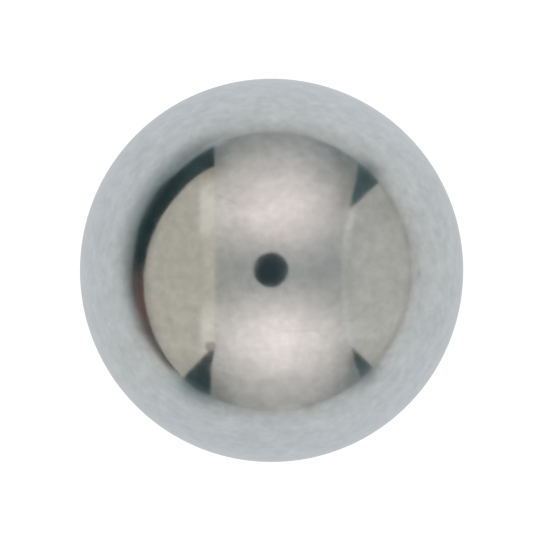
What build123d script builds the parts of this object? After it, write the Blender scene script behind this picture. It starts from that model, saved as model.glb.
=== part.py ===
from build123d import *

import math
import os

# Driving dimension, in millimetres. A loose ball has one size, its diameter, and 10 is a stock one.
ball_diameter = 10.0

ball_radius = ball_diameter / 2


def ball_surface():
    """The round skin of the ball: a belt and two end caps of one sphere, which meet without a step.

    A sphere that is drawn as one face pinches to a point at each of its two poles, and a mirror
    finish shows that as a flat spot. So the belt stops short of its own poles, and the caps come
    from a sphere that lies on its side, whose poles are out in the belt.
    """
    cap_latitude = 45
    cap_foot_z = ball_radius * math.sin(math.radians(cap_latitude))
    belt = Sphere(ball_radius, arc_size1=-cap_latitude, arc_size2=cap_latitude)
    sphere_on_its_side = Rot(Y=90) * Sphere(ball_radius)
    top_cap = split(sphere_on_its_side, Plane.XY.offset(cap_foot_z), keep=Keep.TOP)
    bottom_cap = Rot(X=180) * top_cap
    zones = [belt, top_cap, bottom_cap]
    return Shell([zone.faces().filter_by(GeomType.SPHERE)[0] for zone in zones])


def steel_ball():
    """The whole object: one solid true sphere, lapped all over, with its centre on the origin."""
    return Solid(ball_surface())


def write_node(shape, node):
    """Writes one solid to its own STEP file, named after its node."""
    os.makedirs("parts", exist_ok=True)
    export_step(shape, f"parts/{node}.step")


write_node(steel_ball(), "steel_ball")
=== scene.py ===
import math
from collections import namedtuple

import bmesh
import bpy
import numpy as np
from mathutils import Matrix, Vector


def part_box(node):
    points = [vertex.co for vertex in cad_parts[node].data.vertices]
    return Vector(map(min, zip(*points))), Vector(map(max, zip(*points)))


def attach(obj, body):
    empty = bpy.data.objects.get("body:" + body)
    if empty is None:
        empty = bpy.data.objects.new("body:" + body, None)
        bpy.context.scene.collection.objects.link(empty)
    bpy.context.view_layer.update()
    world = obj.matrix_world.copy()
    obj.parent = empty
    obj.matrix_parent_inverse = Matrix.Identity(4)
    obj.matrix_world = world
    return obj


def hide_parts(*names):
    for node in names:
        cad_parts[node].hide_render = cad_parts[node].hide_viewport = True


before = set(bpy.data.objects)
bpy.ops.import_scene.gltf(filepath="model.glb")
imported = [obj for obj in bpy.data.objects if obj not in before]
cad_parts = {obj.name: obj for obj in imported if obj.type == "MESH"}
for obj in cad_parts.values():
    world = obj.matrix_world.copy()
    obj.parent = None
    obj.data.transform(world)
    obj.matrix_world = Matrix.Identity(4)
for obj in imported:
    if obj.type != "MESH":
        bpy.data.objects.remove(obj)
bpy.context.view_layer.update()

# The ball's middle and radius come from the frame, in metres. Every other length is in ball radii,
# unless its comment says otherwise, with the ball's middle as the origin.
ball_low, ball_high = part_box("steel_ball")
ball_middle = (ball_low + ball_high) / 2
ball_radius = max(ball_high - ball_low) / 2

# How many cells run along each edge of the cube that becomes the round ball.
ball_cells = 80

# The photo's frame in pixels, and where the ball's round outline lies in it.
picture_width = 533
picture_height = 552
outline_middle_x = 271.1
outline_middle_y = 269.85
outline_radius = 191.7

# The camera looks straight down on the ball. Its sensor is in millimetres, and the nearest and the
# farthest that it sees are in metres.
camera_height = 36.0
sensor_size = 36.0
nearest_seen = 0.01
farthest_seen = 100

# The tent is a half egg of paper over a white floor, and the ball lies off its middle.
floor_height = -1.0
floor_reach = 4000.0
tent_middle = (-20.0, 28.0)
tent_radius = 62.0
tent_height = 70.0

# How far out each sheet of the tent lies, as a share of the tent's size. A nearer sheet hides a
# farther one.
clip_layer = 0.99
arch_layer = 1.0
curled_paper_layer = 1.01
card_layer = 1.02
dark_room_layer = 1.1

# A place on the ball is (x, y) on its round outline as the camera sees it, each from -1 to 1, with
# x to the right and y up. The same place is also a turn, in degrees from the x axis, and how far
# out it lies from the outline's middle. A pair of widths is the one below and the one above.

# The camera's lens in the ball: its middle, its radius and the share of that which is darker.
lens_disc_middle = (-0.0037, 0.0029)
lens_disc_radius = 0.0905
lens_core_share = 0.62

# The left card's lifted edge in the ball is part of a circle.
lifted_edge_middle = (0.0215, -0.068)
lifted_edge_radius = 0.6885

# The arch's right edge in the ball bows out towards both of its feet.
arch_right_edge = [
    (0.500, -0.76),
    (0.456, -0.53),
    (0.435, -0.49),
    (0.417, -0.41),
    (0.381, -0.30),
    (0.364, -0.15),
    (0.361, 0.00),
    (0.366, 0.15),
    (0.386, 0.27),
    (0.411, 0.34),
    (0.427, 0.42),
    (0.443, 0.48),
    (0.450, 0.56),
    (0.475, 0.76),
]

# The steel: how much of the light it sends back straight on, and how sharply. A mark is rougher
# by a share of how much darker it is.
steel_colour = (0.56, 0.57, 0.58)
steel_roughness = 0.095
roughness_change = 0.015
mark_roughness = 0.4
least_roughness = 0.03

# The patchy haze on the steel is three layers of noise, and change is how far each takes the
# light up or down. The ripple is noise too, and moves the surface by a height.
Noise = namedtuple("Noise", "scale detail seed")
broad_haze, broad_change = Noise(scale=6, detail=1, seed=8.4), 0.035
middling_haze, middling_change = Noise(scale=13, detail=1, seed=3.1), 0.06
fine_haze, fine_change = Noise(scale=26, detail=2, seed=5.7), 0.06
ripple_noise, ripple_height = Noise(scale=9, detail=1, seed=5.9), 0.00025

# Marks on the steel that the photo shows. The depth is how much darker a mark is, or lighter where
# it is below 0. A scuff runs through the places of its path.
Smudge = namedtuple("Smudge", "x y radius depth")
smudges = [
    Smudge(0.769, -0.016, radius=0.024, depth=0.14),
    Smudge(0.169, -0.079, radius=0.034, depth=0.12),
    Smudge(0.203, -0.705, radius=0.030, depth=0.14),
    Smudge(0.046, 0.573, radius=0.030, depth=0.08),
    Smudge(-0.517, -0.090, radius=0.026, depth=0.07),
    Smudge(-0.533, -0.262, radius=0.030, depth=0.06),
    Smudge(-0.454, -0.314, radius=0.035, depth=0.05),
    Smudge(-0.277, -0.079, radius=0.032, depth=0.08),
    Smudge(-0.282, -0.288, radius=0.020, depth=0.05),
    Smudge(-0.423, 0.270, radius=0.038, depth=0.07),
    Smudge(0.537, -0.319, radius=0.020, depth=0.09),
    Smudge(0.709, 0.124, radius=0.030, depth=0.05),
    Smudge(0.108, 0.844, radius=0.022, depth=-0.04),
    Smudge(-0.246, 0.823, radius=0.045, depth=0.07),
]
smudge_core_share = 0.2
Scuff = namedtuple("Scuff", "depth path")
long_scuff_path = [
    (0.046, -0.319),
    (0.255, -0.314),
    (0.328, -0.308),
    (0.370, -0.262),
    (0.422, -0.262),
    (0.464, -0.230),
    (0.495, -0.189),
    (0.584, -0.157),
]
scuffs = [
    Scuff(depth=0.05, path=long_scuff_path),
    Scuff(depth=0.08, path=[(-0.277, 0.390), (-0.188, 0.349)]),
    Scuff(depth=0.04, path=[(0.067, -0.089), (0.109, -0.173)]),
]
scuff_half_width = 0.013


def new_material(name):
    """An empty node material, with its nodes, its links and its output."""
    material = bpy.data.materials.new(name)
    material.use_nodes = True
    nodes = material.node_tree.nodes
    nodes.clear()
    return material, nodes, material.node_tree.links, nodes.new("ShaderNodeOutputMaterial")


def new_object(name, data):
    """Puts a mesh or a camera into the scene under a name."""
    made = bpy.data.objects.new(name, data)
    bpy.context.scene.collection.objects.link(made)
    return made


# Soft steps and humps, which the tent's light is made of


def rise(value, starts, full):
    """0 up to where it starts, 1 from where it is full, and smooth between, in either direction."""
    share = np.clip((value - starts) / (full - starts), 0, 1)
    return share * share * (3 - 2 * share)


def band(value, rises, falls):
    """0, then 1, then 0 again. Each change is smooth, from the first number of its pair to the second."""
    return rise(value, *rises) * (1 - rise(value, *falls))


def hump(value, middle, width):
    """A soft hump, 1 at the middle, that falls off over one width or over a pair of widths."""
    width_below, width_above = np.broadcast_to(width, 2)
    return np.exp(-(((value - middle) / np.where(value < middle, width_below, width_above)) ** 2))


def spot(x, y, middle, size):
    """A soft spot, 1 at its middle. Its size is what the hump along x and the one along y have."""
    return hump(x, middle[0], size[0]) * hump(y, middle[1], size[1])


def tinted(colour, amount):
    """A colour, or a grey if it is one number, for each amount, as rows of red, green and blue."""
    return np.outer(amount, np.broadcast_to(colour, 3))


# Where the camera's sight goes


def turn_and_out(x, y):
    """A place on the outline as a turn in degrees and how far out it lies."""
    return np.degrees(np.arctan2(y, x)) % 360, np.hypot(x, y)


def mirrored_ray(x, y):
    """Where the camera's line of sight at (x, y) meets the ball, and the way it goes on from there."""
    eye = np.array([0, 0, camera_height])
    spread = math.tan(math.asin(1 / camera_height))
    sight = np.stack([x * spread, y * spread, -np.ones_like(x)], axis=-1)
    sight /= np.linalg.norm(sight, axis=-1, keepdims=True)
    nearest = -(sight @ eye)
    half_chord = np.sqrt(np.maximum(nearest**2 - camera_height**2 + 1, 0))
    touch = eye + sight * (nearest - half_chord)[..., None]
    onward = sight - 2 * np.sum(sight * touch, axis=-1, keepdims=True) * touch
    return touch, onward


def on_ball(x, y):
    """The place on the ball that the camera sees at (x, y)."""
    return mirrored_ray(x, y)[0]


def on_level(x, y, height):
    """The place at a height that the ball mirrors at (x, y)."""
    touch, onward = mirrored_ray(x, y)
    return touch + onward * (height - touch[..., 2:]) / onward[..., 2:]


def on_tent(x, y, layer):
    """The place on a layer of the tent that the ball mirrors at (x, y)."""
    touch, onward = mirrored_ray(x, y)
    stretch = np.array([tent_radius, tent_radius, tent_height]) * layer
    start = (touch - np.array([*tent_middle, 0])) / stretch
    way = onward / stretch
    # The ray meets the tent at the length t for which a * t * t + 2 * b * t + c is 0.
    a = np.sum(way * way, axis=-1)
    b = np.sum(start * way, axis=-1)
    c = np.sum(start * start, axis=-1) - 1
    length = (np.sqrt(b * b - a * c) - b) / a
    return touch + onward * length[..., None]


# The ball


def round_ball(name, cells):
    """A ball of even four-sided faces: a cube whose sides are cut into a grid and pushed out round."""
    shape = bmesh.new()
    bmesh.ops.create_cube(shape, size=2)
    bmesh.ops.subdivide_edges(shape, edges=shape.edges[:], cuts=cells - 1, use_grid_fill=True)
    for vertex in shape.verts:
        evened = Vector([math.tan(part * math.pi / 4) for part in vertex.co])
        vertex.co = ball_middle + evened.normalized() * ball_radius
    for face in shape.faces:
        face.smooth = True
    mesh = bpy.data.meshes.new(name)
    shape.to_mesh(mesh)
    shape.free()
    return new_object(name, mesh)


# The steel


class SteelNodes:
    """Short ways to add the nodes that the steel is made of."""

    def __init__(self, nodes, links):
        self.nodes = nodes
        self.links = links

    def feed(self, socket, value):
        """Gives a socket a plain value, or links it to another node's output."""
        if isinstance(value, bpy.types.NodeSocket):
            self.links.new(value, socket)
        else:
            socket.default_value = value

    def math(self, operation, one, other=0.0):
        """The result of an operation on two numbers, or on one where it takes no other."""
        node = self.nodes.new("ShaderNodeMath")
        node.operation = operation
        self.feed(node.inputs[0], one)
        self.feed(node.inputs[1], other)
        return node.outputs["Value"]

    def vector(self, operation, one, other, output="Vector"):
        """The result of an operation on two vectors: a vector or, at the output Value, a number."""
        node = self.nodes.new("ShaderNodeVectorMath")
        node.operation = operation
        self.feed(node.inputs[0], one)
        self.feed(node.inputs[1], other)
        return node.outputs[output]

    def mapped(self, value, low, high, to_low, to_high, smooth=False):
        """Takes the range from low to high over to another range, and stops at its ends."""
        node = self.nodes.new("ShaderNodeMapRange")
        if smooth:
            node.interpolation_type = "SMOOTHSTEP"
        for socket, number in zip(node.inputs[1:5], (low, high, to_low, to_high)):
            socket.default_value = number
        self.feed(node.inputs["Value"], value)
        return node.outputs["Result"]

    def noise(self, place, scale, detail, seed):
        """Noise from 0 to 1, which the seed takes from another part of its endless field."""
        seed_way = (1, 2.7, -1.3)
        node = self.nodes.new("ShaderNodeTexNoise")
        node.inputs["Scale"].default_value = scale
        node.inputs["Detail"].default_value = detail
        moved = self.vector("ADD", place, [seed * part for part in seed_way])
        self.links.new(moved, node.inputs["Vector"])
        return node.outputs["Fac"]

    def haze(self, noise, change):
        """Noise as a factor on the light, from 1 less the change to 1 plus the change."""
        return self.mapped(noise, low=0.25, high=0.75, to_low=1 - change, to_high=1 + change)


def smudge_depth(add, place, smudge):
    """How much darker a round smudge makes each place."""
    away = add.vector("DISTANCE", place, on_ball(smudge.x, smudge.y), "Value")
    core = smudge_core_share * smudge.radius
    return add.mapped(away, core, smudge.radius, smudge.depth, 0, smooth=True)


def scuff_depth(add, place, scuff):
    """How much darker a scuff makes each place, from arc to arc along its path."""
    total = None
    for start_place, end_place in zip(scuff.path[:-1], scuff.path[1:]):
        start, end = on_ball(*start_place), on_ball(*end_place)
        across = np.cross(start, end)
        off_line = add.vector("DOT_PRODUCT", place, across / np.linalg.norm(across), "Value")
        off_line = add.math("ABSOLUTE", off_line)
        beside = add.mapped(off_line, 0, scuff_half_width, scuff.depth, 0, smooth=True)
        half_length = np.linalg.norm(end - start) / 2
        away = add.vector("DISTANCE", place, (start + end) / 2, "Value")
        within = add.mapped(away, half_length, half_length + scuff_half_width, 1, 0)
        arc_depth = add.math("MULTIPLY", beside, within)
        total = arc_depth if total is None else add.math("MAXIMUM", total, arc_depth)
    return total


def polished_steel():
    """Mirror-polished steel with a faint patchy haze, and the smudges and scuffs the photo shows."""
    material, nodes, links, output = new_material("polished_steel")
    add = SteelNodes(nodes, links)
    shader = nodes.new("ShaderNodeBsdfPrincipled")
    shader.inputs["Metallic"].default_value = 1
    links.new(shader.outputs["BSDF"], output.inputs["Surface"])

    where = nodes.new("ShaderNodeTexCoord")
    from_middle = add.vector("SUBTRACT", where.outputs["Object"], ball_middle)
    place = add.vector("MULTIPLY", from_middle, [1 / ball_radius] * 3)

    marks = 0.0
    for smudge in smudges:
        marks = add.math("ADD", marks, smudge_depth(add, place, smudge))
    for scuff in scuffs:
        marks = add.math("ADD", marks, scuff_depth(add, place, scuff))

    middling_noise = add.noise(place, *middling_haze)
    amount = add.haze(add.noise(place, *broad_haze), broad_change)
    amount = add.math("MULTIPLY", amount, add.haze(middling_noise, middling_change))
    amount = add.math("MULTIPLY", amount, add.haze(add.noise(place, *fine_haze), fine_change))
    amount = add.math("MULTIPLY", amount, add.math("SUBTRACT", 1.0, marks))
    colour = nodes.new("ShaderNodeVectorMath")
    colour.operation = "SCALE"
    colour.inputs[0].default_value = steel_colour
    links.new(amount, colour.inputs["Scale"])
    links.new(colour.outputs["Vector"], shader.inputs["Base Color"])

    smoothest, roughest = steel_roughness - roughness_change, steel_roughness + roughness_change
    rough = add.mapped(middling_noise, low=0.3, high=0.7, to_low=smoothest, to_high=roughest)
    rough = add.math("ADD", rough, add.math("MULTIPLY", marks, mark_roughness))
    links.new(add.math("MAXIMUM", rough, least_roughness), shader.inputs["Roughness"])

    ripple = nodes.new("ShaderNodeBump")
    ripple.inputs["Strength"].default_value = 1
    ripple.inputs["Distance"].default_value = ripple_height * ball_radius
    links.new(add.noise(place, *ripple_noise), ripple.inputs["Height"])
    links.new(ripple.outputs["Normal"], shader.inputs["Normal"])
    return material


# The sheets that the tent is made of


def stored_light(nodes, links):
    """A glow of the light that is stored at a mesh's points."""
    stored = nodes.new("ShaderNodeAttribute")
    stored.attribute_name = "light"
    glow = nodes.new("ShaderNodeEmission")
    links.new(stored.outputs["Color"], glow.inputs["Color"])
    return glow.outputs["Emission"]


def glow_material(name):
    """Paper that gives off the light that is stored at its points."""
    material, nodes, links, output = new_material(name)
    links.new(stored_light(nodes, links), output.inputs["Surface"])
    return material


def grid_mesh(name, points, light):
    """A mesh from a grid of points, with the light that each point gives off."""
    rows, columns = points.shape[:2]
    corner = np.arange(rows * columns).reshape(rows, columns)
    faces = np.stack([corner[:-1, :-1], corner[:-1, 1:], corner[1:, 1:], corner[1:, :-1]], axis=-1)
    places = np.array(ball_middle) + points.reshape(-1, 3) * ball_radius
    mesh = bpy.data.meshes.new(name)
    mesh.from_pydata(places.tolist(), [], faces.reshape(-1, 4).tolist())
    stored = mesh.attributes.new("light", "FLOAT_COLOR", "POINT")
    colours = np.ones((rows * columns, 4), np.float32)
    colours[:, :3] = np.clip(light, 0, None)
    stored.data.foreach_set("color", colours.ravel())
    return mesh


def hang(name, points, light):
    """Hangs a glowing sheet of the tent. Only the polished ball shows it, and it lights nothing."""
    made = new_object(name, grid_mesh(name, points, light))
    made.data.materials.append(glow_material(name))
    made.visible_camera = False
    made.visible_diffuse = False
    made.visible_transmission = False
    made.visible_shadow = False


def sheet(name, one_edge, other_edge, light, layer, cells=120):
    """A sheet of the tent between two edges. An edge gives its (x, y) at each share of its length."""
    along, across = np.meshgrid(np.linspace(0, 1, cells + 1), np.linspace(0, 1, cells + 1))
    start_x, start_y = one_edge(along)
    end_x, end_y = other_edge(along)
    x = start_x + (end_x - start_x) * across
    y = start_y + (end_y - start_y) * across
    hang(name, on_tent(x, y, layer), light(x.ravel(), y.ravel()))


def through(*places):
    """An edge that runs straight from each place to the next, or stays at the one place given."""
    knots = np.linspace(0, 1, len(places))
    xs, ys = zip(*places)
    return lambda share: (np.interp(share, knots, xs), np.interp(share, knots, ys))


def on_circle(turn, radius, middle=(0, 0)):
    """The place at a turn, in degrees, on a circle."""
    angle = np.radians(turn)
    return middle[0] + radius * np.cos(angle), middle[1] + radius * np.sin(angle)


def arc(first_turn, last_turn, radius):
    """An edge along part of a circle about the outline's middle."""
    return lambda share: on_circle(first_turn + (last_turn - first_turn) * share, radius)


# The paper arch

grey_arch = (0.33, 0.372, 0.36)
darkest_arch = (0.31, 0.345, 0.335)


def arch_left_x(y):
    """The arch's left edge in the ball, straight but for its foot at the bottom."""
    return -0.298 - 0.019 * rise(y, starts=-0.38, full=-0.56)


def arch_right_x(y):
    """The arch's right edge in the ball."""
    xs, ys = zip(*arch_right_edge)
    return np.interp(y, ys, xs)


def arch_lamps(x, y):
    """The two lamps behind the arch, and its lighter left edge beside each of them."""
    upper_lamp = spot(x, y, middle=(0.05, 0.315), size=((0.37, 0.28), (0.22, 0.28)))
    lower_lamp = spot(x, y, middle=(0.035, -0.36), size=((0.32, 0.35), (0.265, 0.24)))
    left_edge = spot(x, y, middle=(-0.28, 0.29), size=(0.05, 0.1))
    left_edge += spot(x, y, middle=(-0.28, -0.27), size=(0.05, 0.08))
    upper_left_patch = spot(x, y, middle=(-0.074, 0.406), size=(0.04, 0.04))
    light = tinted((0.93, 0.77, 0.72), upper_lamp) + tinted((1.03, 0.87, 0.81), lower_lamp)
    return light + tinted((0.10, 0.10, 0.09), left_edge) + tinted(0.10, upper_left_patch)


def arch_folds(x, y):
    """The light that two faint folds take away: one down the left side and one across it."""
    left_fold = spot(x, y, middle=(-0.262, 0.05), size=(0.014, 0.15))
    cross_fold = hump(y, middle=0.13 * x - 0.218, width=0.014)
    cross_fold *= hump(x, middle=0.15, width=(0.12, 0.13))
    return tinted(0.04, left_fold) + tinted((0.07, 0.07, 0.06), cross_fold)


def arch_corner_shade(x, y):
    """The light that the arch lacks at its corners, which turn away from the lamps."""
    all_corners = rise(np.abs(y), starts=0.45, full=0.75) * ((x - 0.05) / 0.35) ** 2
    upper_left = rise(x, starts=-0.20, full=-0.29) * rise(y, starts=0.44, full=0.54)
    lower_left = rise(x, starts=-0.20, full=-0.30) * rise(y, starts=-0.46, full=-0.56)
    upper_right = rise(x, starts=0.28, full=0.40) * rise(y, starts=0.25, full=0.42)
    upper_right_edge = spot(x, y, middle=(0.39, 0.345), size=((0.05, 0.1), 0.03))
    upper_right_patch = spot(x, y, middle=(0.275, 0.495), size=(0.05, 0.07))
    shade = tinted((0.38, 0.34, 0.29), all_corners) + tinted(0.15, upper_left + upper_right)
    shade += tinted(0.07, lower_left + upper_right_edge) + tinted(0.065, upper_right_patch)

    lower_right = 0.09 * rise(x, starts=0.29, full=0.35) * rise(y, starts=-0.34, full=-0.42)
    lower_right += 0.11 * rise(x, starts=0.325, full=0.35) * hump(y, middle=-0.42, width=(0.05, 0.04))
    lower_right += 0.15 * rise(x, starts=0.355, full=0.43) * rise(y, starts=-0.40, full=-0.48)
    lower_right += 0.15 * rise(x, starts=0.39, full=0.42) * hump(y, middle=-0.485, width=(0.04, 0.03))
    lower_right *= 1 - 0.4 * rise(y, starts=-0.53, full=-0.60)
    return shade + tinted((1.0, 0.96, 0.92), lower_right)


def arch_light(x, y):
    """The paper arch: grey over the camera, with a warm lamp behind the paper on each side of it."""
    turn, out = turn_and_out(x, y)
    light = grey_arch + tinted((0.98, 0.78, 0.56), x**2) - tinted((0.10, 0.07, 0.02), x)
    feet = rise(np.abs(y), starts=0.55, full=0.70) * np.where(y < 0, 1, 0.15)
    light += arch_lamps(x, y) + tinted((0.10, 0.07, 0.05), feet)
    light -= arch_folds(x, y) + arch_corner_shade(x, y)
    light = np.maximum(light, darkest_arch)
    beside_upper_gap = rise(x, starts=0.395, full=0.425) * band(y, (0.34, 0.40), (0.48, 0.54))
    by_floor = hump(turn, middle=113, width=5) * rise(out, starts=0.698, full=0.715)
    return light - tinted((0.09, 0.06, 0.045), beside_upper_gap) + tinted(0.17, by_floor)


def arch():
    """The strip of paper that arches over the ball from the top of the picture to its bottom."""
    foot_y = 0.76

    def up_along(edge_x):
        """An edge from the lower foot to the upper one, whose x follows from its y."""

        def edge(share):
            y = foot_y * (2 * share - 1)
            return edge_x(y), y

        return edge

    sheet("paper_arch", up_along(arch_left_x), up_along(arch_right_x), arch_light, arch_layer)


# The cards on both sides, and the clip


def left_card_light(x, y):
    """Beige card, with a brighter fold along the arch where the lamps shine through."""
    fold_x = -0.346 - np.where(y > 0, 0.030, 0.022) * rise(np.abs(y + 0.02), starts=0.05, full=0.26)
    fold = rise(x, starts=fold_x - 0.018, full=fold_x + 0.018)
    by_lamps = 0.03 + hump(y, middle=0.34, width=(0.15, 0.11)) + hump(y, middle=-0.31, width=0.13)
    beside_fold = spot(x, y, middle=(-0.375, 0.03), size=(0.02, 0.15))
    top_end = rise(y, starts=0.42, full=0.54)
    light = tinted((0.69, 0.655, 0.555), 1 - 0.08 * y)
    light += tinted((0.33, 0.325, 0.30), fold * by_lamps)
    light -= tinted((0.04, 0.04, 0.03), beside_fold) + tinted((0.22, 0.22, 0.20), top_end)

    edge_x, edge_y = lifted_edge_middle
    from_edge = lifted_edge_radius - np.hypot(x - edge_x, y - edge_y)
    bottom_end = rise(y, starts=-0.42, full=-0.47)
    bottom_end += rise(y, starts=-0.38, full=-0.44) * rise(from_edge, starts=0.12, full=0.06)
    lifted_edge = rise(from_edge, starts=0.045, full=0) * rise(y, starts=-0.45, full=-0.30)
    lifted_edge *= 1 - 0.8 * rise(y, starts=0.15, full=0.30)
    return light * ((1 - 0.07 * bottom_end) * (1 - 0.25 * lifted_edge))[:, None]


def left_card():
    """The beige card on the left, which is lifted off the floor more and more towards its top end."""
    top_turn, bottom_turn = 113.3, 225.5

    def lifted_edge(share):
        turn = top_turn + (bottom_turn - top_turn) * share
        bulge = 0.005 * hump(turn, middle=125, width=(7, 9))
        return on_circle(turn, lifted_edge_radius + bulge, lifted_edge_middle)

    inner_edge = through((-0.25, 0.57), (-0.25, -0.20), (-0.307, -0.399))
    sheet("left_card", lifted_edge, inner_edge, left_card_light, card_layer)


def clip_light(x, y):
    """Brownish grey, darker towards the gap."""
    return tinted((0.50, 0.45, 0.39), 1 + 13 * np.minimum(y + 0.40, 0))


def clip():
    """The small brown clip that holds the left card to the arch at the tip of the gap."""
    middle_x, middle_y = -0.319, -0.397
    height_share = 0.9

    def rim(share):
        x, y = on_circle(360 * share, radius=0.028)
        return middle_x + x, middle_y + height_share * y

    sheet("clip", rim, through((middle_x, middle_y)), clip_light, clip_layer, cells=24)


def right_card_light(x, y):
    """Grey card, with a faint brighter fold along the arch and a darker line at its foot."""
    turn, out = turn_and_out(x, y)
    fold_x = 0.377 + np.where(y > 0, 0.50, 0.25) * y**2
    by_lamps = 0.36 + hump(y, middle=0.25, width=(0.1, 0.06))
    by_lamps += 0.7 * hump(y, middle=-0.29, width=(0.1, 0.05))
    light = tinted((0.665, 0.66, 0.605), 1 - 0.28 * y)
    light += tinted((0.15, 0.145, 0.155), hump(x, middle=fold_x, width=(0.03, 0.018)) * by_lamps)

    beside_arch = rise(x, starts=0.47, full=0.37) * hump(y, middle=-0.02, width=0.15)
    bottom_end = rise(y, starts=-0.32, full=-0.41)
    beside_fold = hump(y, middle=-0.13, width=0.035) + 1.3 * hump(y, middle=-0.245, width=(0.035, 0.03))
    beside_fold *= hump(x, middle=0.42, width=(0.03, 0.04))
    by_foot = hump(y, middle=-0.10, width=0.06) * rise(out, starts=0.60, full=0.67)
    by_foot += hump(y, middle=0.33, width=0.06) * rise(out, starts=0.64, full=0.68)
    light -= tinted((0.11, 0.10, 0.09), beside_arch) + tinted(0.12, bottom_end)
    light -= tinted(0.07, beside_fold) + tinted(0.08, by_foot)
    return light * (1 - 0.16 * rise(out, starts=0.700, full=0.723))[:, None]


def right_card():
    """The grey card on the right, which stands on the floor."""
    foot = arc(39.4, -43.7, radius=0.745)
    inner_edge = through((0.38, 0.293), (0.33, 0.15), (0.33, -0.2), (0.38, -0.363))
    sheet("right_card", foot, inner_edge, right_card_light, card_layer)


# What shows through the gaps


def light_by_curl(turn, out):
    """A faint lighter spot at the curled paper's left end, on the paper and on the dark beside it."""
    return tinted(0.02, spot(turn, out, middle=(146, 0.705), size=(3, 0.015)))


def dark_room_light(x, y):
    """Dark and bluish, with a reddish thing on the left and lighter towards the floor."""
    turn, out = turn_and_out(x, y)
    left = rise(x, starts=0.3, full=-0.3)
    light = tinted((0.11, 0.15, 0.158), 1 - left) + tinted((0.022, 0.047, 0.049), left)

    reddish_thing = spot(x, y, middle=(-0.70, -0.18), size=((0.1, 0.08), (0.24, 0.15)))
    left_end = band(turn, (176, 186), (208, 220))
    by_clip = hump(x, middle=-0.33, width=0.05) * rise(y, starts=-0.56, full=-0.42) * (y < 0)
    left_corners = spot(x, np.abs(y), middle=(-0.40, 0.57), size=(0.12, 0.12))
    light += tinted((0.10, 0.012, 0.005), reddish_thing) + tinted((0.055, 0.042, 0.035), left_end)
    light += tinted((0.09, 0.08, 0.07), by_clip) + tinted((0.03, 0.036, 0.037), left_corners)

    lower_right_gap = spot(x, y, middle=(0.45, -0.46), size=(0.05, (0.026, 0.03)))
    upper_right_tip = spot(x, y, middle=(0.45, 0.385), size=(0.06, 0.03))
    upper_right_foot = spot(x, y, middle=(0.485, 0.49), size=(0.03, 0.05))
    light -= tinted((0.05, 0.07, 0.075), lower_right_gap)
    light -= tinted((0.04, 0.022, 0.025), upper_right_tip) + tinted(0.03, upper_right_foot)

    unlit_feet = 0.7 * hump(turn, middle=168, width=(12, 22)) + 0.8 * hump(turn, middle=45, width=6)
    by_floor = rise(out, starts=0.69, full=0.73) * (1 - unlit_feet)
    return light + tinted((0.06, 0.07, 0.07), by_floor) + light_by_curl(turn, out)


def dark_room():
    """What shows through the gaps of the tent, from beyond its foot to its top."""
    sheet("dark_room", arc(0, 360, radius=0.8), through((0, 0)), dark_room_light, dark_room_layer)


def curled_paper_light(x, y):
    """Dim paper, darker towards its upper edge and its left end, with a dark fold near that end."""
    turn, out = turn_and_out(x, y)
    lit = rise(out, starts=0.702, full=0.722) * rise(turn, starts=145, full=134)
    light = tinted((0.04, 0.065, 0.07), 1 - lit) + tinted((0.35, 0.42, 0.43), lit)
    dark_fold = 0.42 * hump(turn, middle=138, width=(3.2, 4))
    return (light + light_by_curl(turn, out)) * (1 - dark_fold)[:, None]


def curled_paper():
    """The far corner of the white floor, which curls up a little at the tent's foot."""
    upper_edge, lower_edge = (arc(105, 146, radius) for radius in (0.700, 0.728))
    sheet("curled_paper", upper_edge, lower_edge, curled_paper_light, curled_paper_layer, cells=60)


# The camera's lens


def lens_disc():
    """The camera's own lens, which the ball mirrors at its very middle."""
    lens_height = camera_height - 0.2
    spoke_count = 97
    ring_count = 33
    half_edge = 0.1
    middle_x, middle_y = lens_disc_middle
    middle = on_level(middle_x, middle_y, lens_height)
    radius = on_level(middle_x + lens_disc_radius, middle_y, lens_height)[0] - middle[0]
    rings = np.linspace(0, radius, ring_count)
    angle, out = np.meshgrid(np.linspace(0, 2 * math.pi, spoke_count), rings)
    points = np.stack([out * np.cos(angle), out * np.sin(angle), np.zeros_like(out)], axis=-1) + middle
    core_ends, barrel_starts = lens_core_share - half_edge, lens_core_share + half_edge
    barrel = rise(out.ravel() / radius, starts=core_ends, full=barrel_starts)
    light = tinted((0.047, 0.069, 0.077), barrel) + tinted((0.031, 0.055, 0.063), 1 - barrel)
    hang("lens_disc", points, light)


# The floor and the white around it

# Patches of painted shade in the floor's light, a little darker, or painted light where the depth is
# below 0. Each lies at a turn and at how far out the ball mirrors it, with a width each way.
Patch = namedtuple("Patch", "turn turn_width out out_width depth")
floor_shade_patches = [
    Patch(turn=46, turn_width=9, out=0.822, out_width=0.02, depth=0.07),
    Patch(turn=124, turn_width=(8, 10), out=0.755, out_width=(0.014, 0.02), depth=0.08),
    Patch(turn=135, turn_width=9, out=0.82, out_width=0.035, depth=-0.04),
    Patch(turn=166, turn_width=18, out=0.88, out_width=0.035, depth=0.04),
    Patch(turn=186, turn_width=(18, 14), out=0.785, out_width=(0.02, 0.04), depth=-0.05),
    Patch(turn=241, turn_width=8, out=0.825, out_width=(0.02, 0.035), depth=0.06),
    Patch(turn=335, turn_width=14, out=0.86, out_width=0.05, depth=-0.03),
]


def floor_out_at(distance):
    """How far out on its outline the ball mirrors the floor that is a distance away."""
    near_horizon, near_rim = 0.7150, 0.9999
    step_count = 3000
    out = np.linspace(near_horizon, near_rim, step_count)
    reached = on_level(out, np.zeros_like(out), floor_height)[:, 0]
    return np.interp(-distance, -reached, out)


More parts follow.
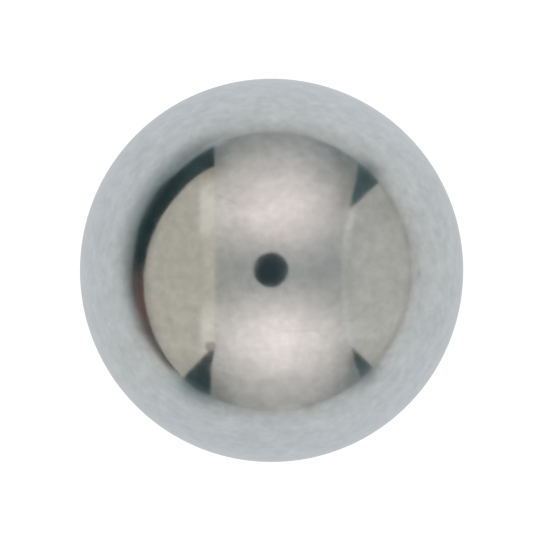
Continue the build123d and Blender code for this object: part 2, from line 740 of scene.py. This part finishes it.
def open_floor_light(turn, out):
    """The floor's light away from the gaps: it falls off with distance, and rises by the right card."""
    near_light, lost_far_off = np.array([(0.823, 0.862, 0.888), (0.291, 0.327, 0.378)])
    farthest_out, fall_off = 0.72, (0.045, 0.047, 0.055)
    far_off = np.exp(-(out - farthest_out)[:, None] / fall_off)
    beside_ball = rise(out, starts=0.90, full=0.97)
    by_card = hump(turn, middle=340, width=(14, 10)) + hump(turn, middle=20, width=(4, 5))
    by_card *= hump(out, middle=0.747, width=(0.012, 0.02))
    by_card += spot(turn, out, middle=(333, 0.76), size=(14, 0.03))
    light = near_light - lost_far_off * far_off
    return light + tinted((0.012, 0.018, 0.027), beside_ball) + tinted(0.06, by_card)


def shade_by_gaps(turn, out):
    """How much darker the floor's painted light is beside each gap of the tent, and in its shade patches.
    """
    left = 0.78 * rise(turn, starts=100, full=124) + 0.22 * rise(turn, starts=125, full=150)
    left *= 0.70 * rise(turn, starts=217, full=174) * rise(out, starts=0.85, full=0.69)
    left += 0.22 * band(turn, (134, 148), (200, 215)) * rise(out, starts=0.738, full=0.715)
    left += 0.25 * hump(turn, middle=194, width=(13, 10)) * rise(out, starts=0.78, full=0.735)
    left += 0.11 * hump(turn, middle=158, width=(4, 7)) * rise(out, starts=0.75, full=0.73)

    lower_left = 0.67 * hump(turn, middle=237, width=(8, 12.5)) * rise(out, starts=0.84, full=0.70)
    lower_left += 0.28 * hump(turn, middle=237, width=(8, 9)) * rise(out, starts=0.745, full=0.718)

    right = 0.60 * hump(turn, middle=313, width=(8, 5)) + 0.65 * hump(turn, middle=45, width=(5.5, 7.5))
    right *= rise(out, starts=0.83, full=0.70)

    lit_by_curl = 0.12 * hump(turn, middle=126, width=(14, 8)) * rise(out, starts=0.74, full=0.722)
    lit_by_curl += 0.20 * hump(turn, middle=114, width=(5, 6)) * rise(out, starts=0.745, full=0.725)

    # Painted shade in the floor's light, or painted light where a patch's depth is below 0.
    patch_shade = sum(
        patch.depth * spot(turn, out, (patch.turn, patch.out), (patch.turn_width, patch.out_width))
        for patch in floor_shade_patches
    )
    return left + lower_left + right - lit_by_curl + patch_shade


def shade_under_left_card(turn, out):
    """The deep shade under the lifted card's bottom end, which widens as it goes round to the left."""
    widening = np.clip((219 - turn) / 15, 0, 1) ** 2.5
    shade = band(turn, (196, 206), (221, 229))
    return shade * rise(out, starts=0.761 + 0.034 * widening, full=0.727 - 0.012 * widening)


def floor_light_tint(turn, out):
    """What is left of red, green and blue in the floor's light beside the cards and the gaps: a painted
    tint of their light and shade.
    """
    turn_from_right = (turn + 180) % 360 - 180
    by_right_card = 0.8 * hump(turn_from_right, middle=10, width=(30, 25)) + 0.2
    by_upper_right_gap = spot(turn, out, middle=(50, 0.80), size=(20, 0.05))
    by_curl = hump(turn, middle=142, width=(25, 20)) * rise(out, starts=0.80, full=0.72)
    by_reddish_thing = hump(turn, middle=190, width=12) * rise(out, starts=0.76, full=0.72)
    by_left_card_foot = hump(turn, middle=195, width=9) * rise(out, starts=0.755, full=0.725)
    by_left_card = hump(turn, middle=214, width=(12, 14))
    by_lower_left_gap = hump(turn, middle=235, width=7) * rise(out, starts=0.83, full=0.77)
    lost = [
        tinted((0.0, 0.01, 0.03), by_right_card),
        tinted((0.0, 0.01, 0.03), by_upper_right_gap),
        tinted((0.13, 0.03, 0.0), by_curl),
        tinted((-0.10, 0.07, 0.07), by_reddish_thing),
        tinted((0.0, 0.12, 0.12), by_left_card_foot),
        tinted((0.0, 0.01, 0.035), by_left_card),
        tinted((0.18, 0.09, 0.09), by_lower_left_gap),
    ]
    return np.prod([1 - each for each in lost], axis=0)


def floor_light(x, y):
    """What the white floor sends to the ball: less far off, beside the tent's gaps and under the ball."""
    turn, distance = turn_and_out(x, y)
    out = floor_out_at(distance)
    # The floor's light takes a painted tint: light off the cards and shade at the gaps.
    light = open_floor_light(turn, out) * floor_light_tint(turn, out)
    light *= 1 - tinted((1.0, 0.93, 0.92), shade_by_gaps(turn, out))
    light *= 1 - tinted((0.60, 0.63, 0.69), shade_under_left_card(turn, out))
    by_upper_lamp = 1 + 0.045 * hump(turn, middle=72, width=(35, 30))
    # Painted shadow of the ball, in the floor's light as the ball mirrors it.
    painted_shadow_under_ball = (1 + distance**2) ** -1.5
    return light * (by_upper_lamp * (1 - painted_shadow_under_ball))[:, None]


def mixed(nodes, links, share, one, other):
    """One shader where the share is 0, and the other where it is 1."""
    mix = nodes.new("ShaderNodeMixShader")
    for socket, value in zip(mix.inputs, (share, one, other)):
        links.new(value, socket)
    return mix.outputs["Shader"]


def floor_material():
    """White paper: plain white in the picture, with the ball's own shadow, and in the ball the painted
    light stored at its points, with a painted shadow under the ball.
    """
    paper_white = 0.6
    white_lift = 0.6
    material, nodes, links, output = new_material("white_floor")
    paper = nodes.new("ShaderNodeBsdfDiffuse")
    paper.inputs["Color"].default_value = (paper_white, paper_white, paper_white, 1)
    lift = nodes.new("ShaderNodeEmission")
    lift.inputs["Strength"].default_value = white_lift
    lifted = nodes.new("ShaderNodeAddShader")
    links.new(paper.outputs["BSDF"], lifted.inputs[0])
    links.new(lift.outputs["Emission"], lifted.inputs[1])

    ray = nodes.new("ShaderNodeLightPath").outputs
    unmirrored = mixed(nodes, links, ray["Is Camera Ray"], paper.outputs["BSDF"], lifted.outputs["Shader"])
    surface = mixed(nodes, links, ray["Is Glossy Ray"], unmirrored, stored_light(nodes, links))
    links.new(surface, output.inputs["Surface"])
    return material


def floor():
    """The white floor under the ball, as rings that are close together near it."""
    first_ring = 0.05
    ring_count = 140
    spoke_count = 181
    rings = np.concatenate([[0], np.geomspace(first_ring, floor_reach, ring_count)])
    angle, distance = np.meshgrid(np.linspace(0, 2 * math.pi, spoke_count), rings)
    x, y = distance * np.cos(angle), distance * np.sin(angle)
    points = np.stack([x, y, np.full_like(x, floor_height)], axis=-1)
    made = new_object("floor", grid_mesh("floor", points, floor_light(x.ravel(), y.ravel())))
    made.data.materials.append(floor_material())


def white_world():
    """Even white light from all round, at the level where white renders as white."""
    world = bpy.data.worlds.new("white_world")
    world.use_nodes = True
    background = world.node_tree.nodes["Background"]
    background.inputs["Color"].default_value = (1, 1, 1, 1)
    background.inputs["Strength"].default_value = 1
    bpy.context.scene.world = world


# The camera


def camera():
    """The camera, straight above the ball, moved sideways a little to frame it as the photo does."""
    lens_data = bpy.data.cameras.new("camera")
    lens_data.sensor_width = sensor_size
    half_view = picture_height / 2 / outline_radius * math.tan(math.asin(1 / camera_height))
    lens_data.lens = sensor_size / 2 / half_view
    lens_data.clip_start = nearest_seen
    lens_data.clip_end = farthest_seen
    made = new_object("camera", lens_data)
    radius_per_pixel = ball_radius / outline_radius
    right_of_middle = (outline_middle_x - (picture_width - 1) / 2) * radius_per_pixel
    above_middle = ((picture_height - 1) / 2 - outline_middle_y) * radius_per_pixel
    height = camera_height * ball_radius
    made.location = ball_middle + Vector((-right_of_middle, -above_middle, height))
    bpy.context.scene.camera = made


ball = round_ball("ball", ball_cells)
ball.data.materials.append(polished_steel())
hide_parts("steel_ball")
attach(ball, "root")

arch()
left_card()
clip()
right_card()
dark_room()
curled_paper()
lens_disc()
floor()
white_world()
camera()

bpy.context.scene.view_settings.view_transform = "Standard"
